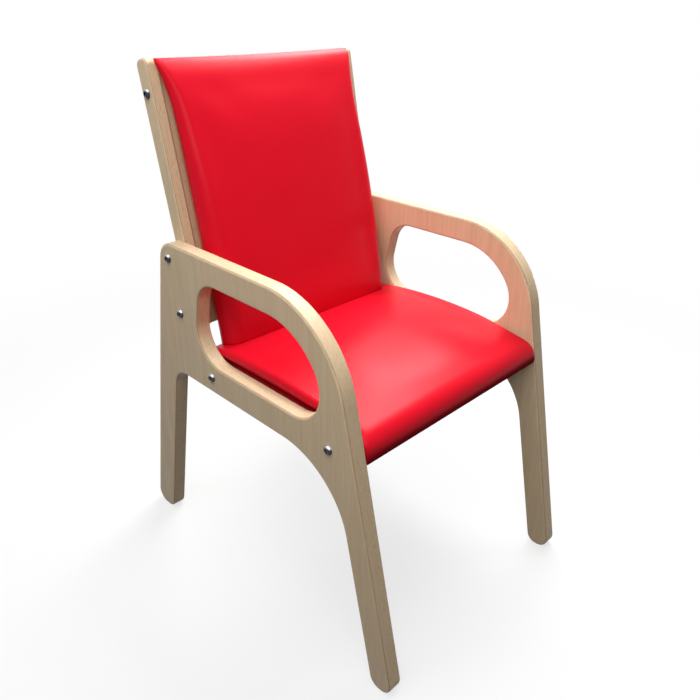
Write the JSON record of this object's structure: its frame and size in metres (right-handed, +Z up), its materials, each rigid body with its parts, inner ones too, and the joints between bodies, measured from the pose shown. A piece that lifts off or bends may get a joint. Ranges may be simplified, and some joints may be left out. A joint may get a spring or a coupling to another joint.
{
  "type": "school chair",
  "caption": "School armchair with shaped plywood side frames, rounded arm windows and a padded vinyl seat and back bolted between them.",
  "frame": {"origin": "on the floor, midway between the sides and midway between the rear and front feet", "axes": "+Z up, the chair faces -Y, the sitter's right is -X"},
  "size_m": [0.4588, 0.6225, 0.8208],
  "materials": {
    "ply": "clear satin lacquer on birch plywood",
    "board": "raw plywood",
    "dowel": "raw beech",
    "vinyl": "smooth semi-gloss vinyl-coated cloth",
    "foam": "open-cell upholstery foam",
    "lining": "black non-woven",
    "bolt": "dark zinc plating",
    "nut": "zinc plating",
    "screw": "zinc plating"
  },
  "bodies": {
    "root": {"back_board": "board", "back_cleat_left": "ply", "back_cleat_right": "ply", "back_cover": "vinyl", "back_foam": "foam", "back_lining": "lining", "back_lower_rail": "ply", "back_middle_rail": "ply", "back_post_left": "ply", "back_post_right": "ply", "back_staples": "screw", "back_upper_rail": "ply", "board_screws": "screw", "cleat_screws": "screw", "frame_bolts": "bolt", "post_bolts": "bolt", "rail_barrel_nuts": "nut", "rail_dowels": "dowel", "seat_barrel_nuts": "nut", "seat_board": "board", "seat_bolts": "bolt", "seat_cover": "vinyl", "seat_foam": "foam", "seat_lining": "lining", "seat_staples": "screw", "side_frame_left": "ply", "side_frame_right": "ply"}
  },
  "joints": []
}
